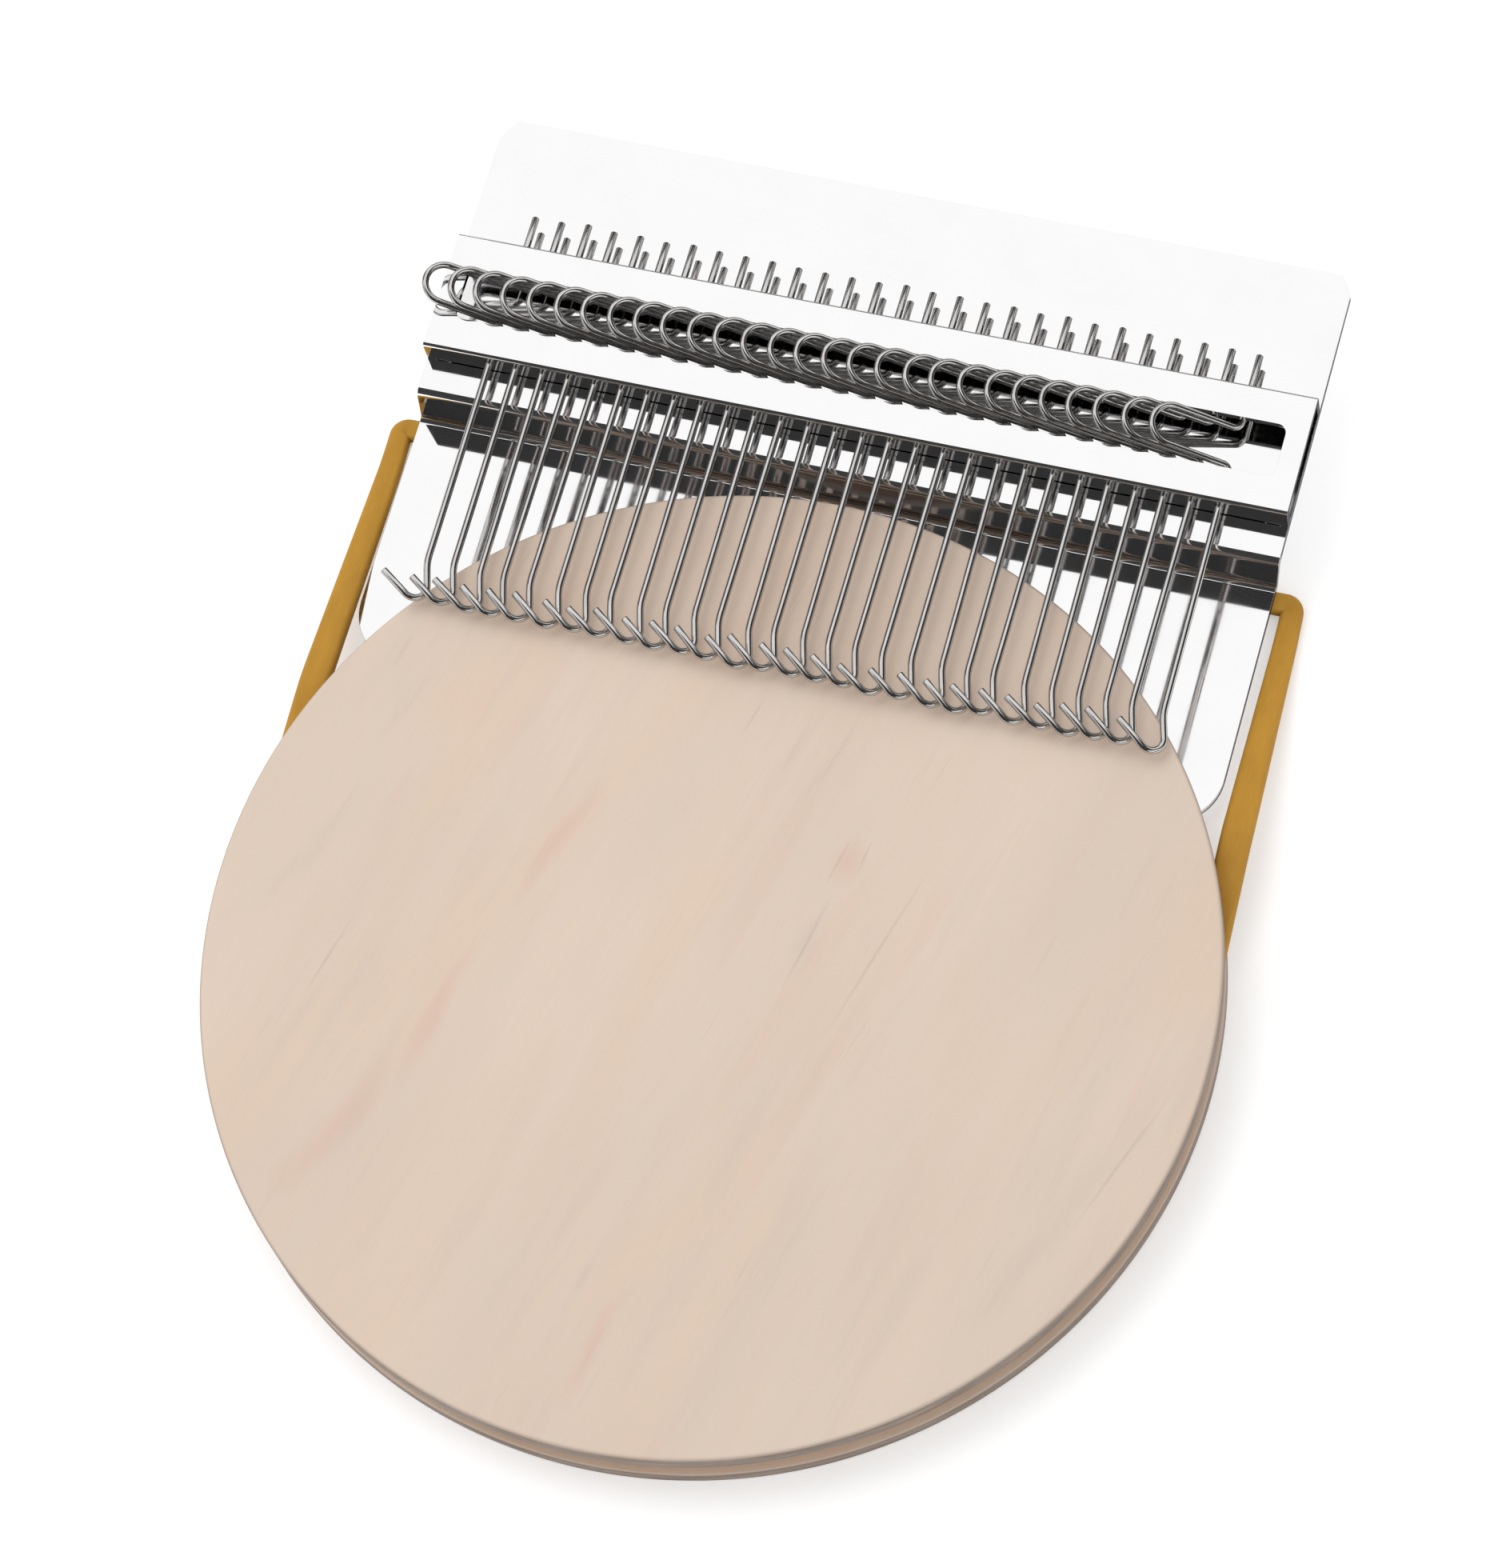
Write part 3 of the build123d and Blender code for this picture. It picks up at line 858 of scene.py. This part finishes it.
class LOOM_OT_hook_wires(bpy.types.Operator):
    """Bends the hook wires, each with its stub, lever, shank and hook"""

    bl_idname = "loom.hook_wires"
    bl_label = "Hook wires"

    SIDES = 16
    BEND = 0.5 * MM
    REST = math.radians(22)
    LEVER_REACH = 6.2 * MM
    LEVER_RADIUS = 1.45 * MM
    STUB = 2.7 * MM
    SHANK = 15.85 * MM
    HOOK = 3.1 * MM
    HOOK_RADIUS = 0.9 * MM
    KICK = 0.55 * MM
    TIP_ANGLE = math.radians(32)
    TIP_LENGTH = 2.3 * MM
    KINK_RADIUS = 3.5 * MM
    LEAST_STEP = 0.01 * MM
    # How much the wires differ from one another.
    SEED = 28
    SPIN_SPREAD = math.radians(0.5)
    LEAN_SPREAD = 0.013
    LEVER_SPREAD = 0.08 * MM
    END_SPREAD = 0.12 * MM
    TIP_TURN = math.radians(3)
    TIP_SHORTER = 0.3 * MM
    TIP_LONGER = 0.2 * MM
    # How far the cut ends stand out and how wide they are, as shares of the wire's radius.
    END_LENGTH = 0.2
    END_WIDTH = 0.75

    def execute(self, context):
        steel = context.scene.loom_steel
        finish = wire_finish(steel)
        chance = random.Random(self.SEED)
        for number, joint in enumerate(HOOK_JOINTS, 1):
            name = f"hook_{number:02d}"
            mesh = self.tube(self.line(chance, steel.wire / 2), steel.wire / 2)
            piece = add_object(f"bent_wire_{number:02d}", mesh)
            spin = self.REST + chance.uniform(-self.SPIN_SPREAD, self.SPIN_SPREAD)
            x, _, z = joint["pos_m"]
            across = Vector((-math.cos(spin), 0, math.sin(spin)))
            normal = Vector((-math.sin(spin), 0, -math.cos(spin)))
            turn = Matrix((across, (0, 1, 0), normal)).transposed().to_4x4()
            piece.data.transform(Matrix.Translation((x, 0, z)) @ turn)
            dress(piece, finish, "hook_wire", name, name)
        return {"FINISHED"}

    def line(self, chance, wire_radius):
        """The wire's middle line in its own plane, a little different from hook to hook."""
        middle = (CHANNEL_LOW.y + CHANNEL_HIGH.y) / 2
        rear_arm, front_arm = middle + self.LEVER_RADIUS, middle - self.LEVER_RADIUS
        lean = chance.uniform(-self.LEAN_SPREAD, self.LEAN_SPREAD)
        reach = self.LEVER_REACH + chance.uniform(-self.LEVER_SPREAD, self.LEVER_SPREAD)
        ring_start = reach - self.LEVER_RADIUS
        shank_end = CHANNEL_LOW.y - self.SHANK + chance.uniform(-self.END_SPREAD, self.END_SPREAD)
        hook_y = shank_end - self.HOOK + wire_radius + self.HOOK_RADIUS
        hook = Vector((self.HOOK_RADIUS - self.KICK, hook_y))
        away = math.hypot(hook.x, shank_end - hook.y)
        touch = math.atan2(shank_end - hook.y, -hook.x) + math.acos(self.HOOK_RADIUS / away)
        touch_point = hook + self.HOOK_RADIUS * Vector((math.cos(touch), math.sin(touch)))
        stub_end = CHANNEL_HIGH.y + self.STUB + chance.uniform(-self.END_SPREAD, self.END_SPREAD)
        stub = rounded([(0, stub_end), (0, rear_arm), (ring_start, rear_arm)], (self.BEND,))
        shank = rounded(
            [(ring_start, front_arm), (0, front_arm), (0, shank_end), touch_point],
            (self.BEND, self.KINK_RADIUS),
        )
        line = [point for point, _ in stub]
        line += self.arc(Vector((ring_start, middle)), self.LEVER_RADIUS, math.pi / 2, -math.pi / 2)
        line += [point for point, _ in shank[1:]]
        tip_turn = 1.5 * math.pi + self.TIP_ANGLE + chance.uniform(-self.TIP_TURN, self.TIP_TURN)
        line += self.arc(hook, self.HOOK_RADIUS, touch, tip_turn)
        way = Vector((-math.sin(tip_turn), math.cos(tip_turn)))
        line.append(line[-1] + way * (self.TIP_LENGTH + chance.uniform(-self.TIP_SHORTER, self.TIP_LONGER)))
        return [Vector((x + lean * max(0.0, CHANNEL_LOW.y - y), y)) for x, y in line]

    def arc(self, centre, radius, start, end):
        steps = math.ceil(abs(end - start) / ARC_STEP)
        angles = [start + (end - start) * step / steps for step in range(1, steps + 1)]
        return [centre + radius * Vector((math.cos(angle), math.sin(angle))) for angle in angles]

    def tube(self, line, radius):
        """The round wire along the line, with both its ends a little tapered."""
        points = [line[0]]
        points += [point for point in line[1:] if (point - points[-1]).length > self.LEAST_STEP]
        rings = []
        for number, point in enumerate(points):
            before = points[max(number - 1, 0)]
            after = points[min(number + 1, len(points) - 1)]
            way = (after - before).normalized()
            rings.append((point, Vector((-way.y, way.x)), 1.0))
        taper = self.END_LENGTH * radius
        first = (points[1] - points[0]).normalized()
        last = (points[-1] - points[-2]).normalized()
        rings.insert(0, (points[0] - first * taper, rings[0][1], self.END_WIDTH))
        rings.append((points[-1] + last * taper, rings[-1][1], self.END_WIDTH))
        vertices = []
        for point, side_way, share in rings:
            for side in range(self.SIDES):
                angle = 2 * math.pi * side / self.SIDES
                flat = point + side_way * radius * share * math.cos(angle)
                vertices.append((flat.x, flat.y, radius * share * math.sin(angle)))
        faces = ring_faces(self.SIDES, range(len(rings)))
        faces += [tuple(range(self.SIDES)), tuple(range(len(vertices) - self.SIDES, len(vertices)))]
        return mesh_from("bent_wire", vertices, faces)


class LOOM_OT_stage(bpy.types.Operator):
    """Sets the white floor, the soft light, the dark cards that the steel mirrors and the camera"""

    bl_idname = "loom.stage"
    bl_label = "Studio and camera"

    FLOOR_SIZE = 6.0
    # The loom lies on its band and on the far edge of its disc, so the floor is tilted under it.
    BAND_LINE = Vector((0.0, 23.3, 0.0)) * MM
    RIM_LINE = Vector((0.0, -47.05, 1.6)) * MM
    WORLD_LIGHT = 0.80
    KEY_FROM = Vector((-0.62, 0.42, 1.0))
    KEY_DISTANCE = 1.2
    KEY_SIZE = 1.1
    KEY_POWER = 4.6
    CARD_TONE = 0.05
    FLOOR_LIFT = 0.30
    # Each card's two corners, and the way that one of its sides runs.
    CARDS = (
        ("card_over_front", (-0.6, -0.9, 0.6), (0.42, -0.03, 0.6), (0, 1, 0)),
        ("card_front", (-0.6, -0.9, 0.0), (0.45, -0.9, 0.6), (0, 0, 1)),
        ("card_rear", (-0.6, 1.0, 0.0), (0.1, 1.0, 0.42), (0, 0, 1)),
        ("card_right", (0.5, 0.12, 0.0), (0.5, 0.75, 1.3), (0, 0, 1)),
        ("card_right_high", (0.5, -0.4, 0.55), (0.5, 0.12, 1.3), (0, 0, 1)),
        ("card_left", (-0.6, 0.12, 0.0), (-0.6, 0.5, 0.5), (0, 0, 1)),
        ("skirt_front", (-1.1, -0.95, 0.0), (1.1, -0.95, 0.36), (0, 0, 1)),
        ("skirt_rear", (-1.1, 1.05, 0.0), (1.1, 1.05, 0.3), (0, 0, 1)),
        ("skirt_right", (1.1, -0.95, 0.0), (1.1, 1.05, 0.42), (0, 0, 1)),
        ("skirt_left", (-1.1, -0.95, 0.0), (-1.1, 1.05, 0.42), (0, 0, 1)),
    )
    TARGET = Vector((-0.748, 1.435, 5.0)) * MM
    AZIMUTH = math.radians(33.0544)
    ELEVATION = math.radians(65.9699)
    ROLL = math.radians(18.8191)
    DISTANCE = 411.095 * MM
    SENSOR_WIDTH = 36.0
    CLIP_START = 10 * MM

    def execute(self, context):
        stage = context.scene.loom_stage
        self.world(context.scene)
        self.floor(stage)
        for name, low, high, way in self.CARDS:
            self.card(name, Vector(low), Vector(high), Vector(way))
        self.key(context.scene)
        self.camera(context.scene, stage)
        return {"FINISHED"}

    def world(self, scene):
        world = bpy.data.worlds.new("white_studio")
        sky = Nodes(world)
        level = self.WORLD_LIGHT + (1.0 - self.WORLD_LIGHT) * sky.seen()
        white = {"Color": (1.0, 1.0, 1.0, 1.0), "Strength": level}
        background = sky.node("ShaderNodeBackground", None, white)
        sky.node("ShaderNodeOutputWorld", None, {"Surface": background})
        scene.world = world

    def floor(self, stage):
        half = self.FLOOR_SIZE / 2
        slope = (self.RIM_LINE.z - self.BAND_LINE.z) / (self.RIM_LINE.y - self.BAND_LINE.y)
        front, rear = ((y - self.BAND_LINE.y) * slope for y in (-half, half))
        corners = [(-half, -half, front), (half, -half, front), (half, half, rear), (-half, half, rear)]
        floor = add_object("studio_floor", mesh_from("studio_floor", corners, [(0, 1, 2, 3)], False))
        paint = Finish("studio_floor")
        grain = paint.noise(paint.stretched((20 * MM, 20 * MM, 20 * MM)))
        floor.data.materials.append(paint.surface(
            Base_Color=paint.mix(grain * 0.05, stage.floor_colour, dimmed(stage.floor_colour, 0.98)),
            Roughness=0.9,
            Specular_IOR_Level=0.0,
            Emission_Color=paint.mix(paint.seen(), (0.0, 0.0, 0.0), (1.0, 1.0, 1.0)),
            Emission_Strength=self.FLOOR_LIFT,
        ))

    def card(self, name, low, high, way):
        """A dark card between two corners, which only shiny surfaces see."""
        rise = way * (high - low).dot(way)
        corners = [low, low + rise, high, high - rise]
        card = add_object(name, mesh_from(name, corners, [(0, 1, 2, 3)], False))
        card.data.materials.append(Finish(name).surface(
            Base_Color=(self.CARD_TONE,) * 3, Roughness=1.0, Specular_IOR_Level=0.0
        ))
        card.visible_camera = False
        card.visible_diffuse = False
        card.visible_shadow = False

    def key(self, scene):
        lamp = bpy.data.lights.new("key", "AREA")
        lamp.shape = "DISK"
        lamp.size = self.KEY_SIZE
        lamp.energy = self.KEY_POWER
        key = bpy.data.objects.new("key", lamp)
        way = self.KEY_FROM.normalized()
        key.location = way * self.KEY_DISTANCE
        key.rotation_euler = way.to_track_quat("Z", "Y").to_euler()
        key.visible_glossy = False
        scene.collection.objects.link(key)

    def camera(self, scene, stage):
        lens = bpy.data.cameras.new("photo_camera")
        lens.lens = stage.lens
        lens.sensor_width = self.SENSOR_WIDTH
        lens.clip_start = self.CLIP_START
        camera = bpy.data.objects.new("photo_camera", lens)
        back = Vector((
            math.sin(self.AZIMUTH) * math.cos(self.ELEVATION),
            -math.cos(self.AZIMUTH) * math.cos(self.ELEVATION),
            math.sin(self.ELEVATION),
        ))
        level_right = Vector((0, 0, 1)).cross(back).normalized()
        natural_up = back.cross(level_right)
        up = natural_up * math.cos(self.ROLL) + level_right * math.sin(self.ROLL)
        right = up.cross(back)
        camera.matrix_world = (
            Matrix.Translation(self.TARGET + back * self.DISTANCE)
            @ Matrix((right, up, back)).transposed().to_4x4()
        )
        scene.collection.objects.link(camera)
        scene.camera = camera
        scene.view_settings.view_transform = "Standard"


STEPS = (
    LOOM_OT_wooden_disc, LOOM_OT_rubber_band, LOOM_OT_base_plate, LOOM_OT_hook_channel,
    LOOM_OT_hook_wires, LOOM_OT_stage,
)


class LOOM_PT_panel(bpy.types.Panel):
    """Lists the steps that build the loom's looks, with their settings"""

    bl_idname = "LOOM_PT_panel"
    bl_label = "Darning loom"
    bl_space_type = "VIEW_3D"
    bl_region_type = "UI"
    bl_category = "Darning loom"

    def draw(self, context):
        scene = context.scene
        for step in STEPS:
            self.layout.operator(step.bl_idname)
        for key in SETTINGS:
            settings = getattr(scene, key)
            box = self.layout.box()
            box.label(text=key.removeprefix("loom_").capitalize())
            for name in settings.__annotations__:
                box.prop(settings, name)


SETTINGS = {
    "loom_disc": DiscSettings,
    "loom_band": BandSettings,
    "loom_steel": SteelSettings,
    "loom_stage": StageSettings,
}
CLASSES = (*SETTINGS.values(), *STEPS, LOOM_PT_panel)


def register():
    for kind in CLASSES:
        bpy.utils.register_class(kind)
    for name, kind in SETTINGS.items():
        setattr(bpy.types.Scene, name, bpy.props.PointerProperty(type=kind))


def unregister():
    for name in SETTINGS:
        delattr(bpy.types.Scene, name)
    for kind in reversed(CLASSES):
        bpy.utils.unregister_class(kind)


def main():
    register()
    bpy.ops.loom.wooden_disc()
    bpy.ops.loom.rubber_band()
    bpy.ops.loom.base_plate()
    bpy.ops.loom.hook_channel()
    bpy.ops.loom.hook_wires()
    bpy.ops.loom.stage()


if __name__ == "__main__":
    main()
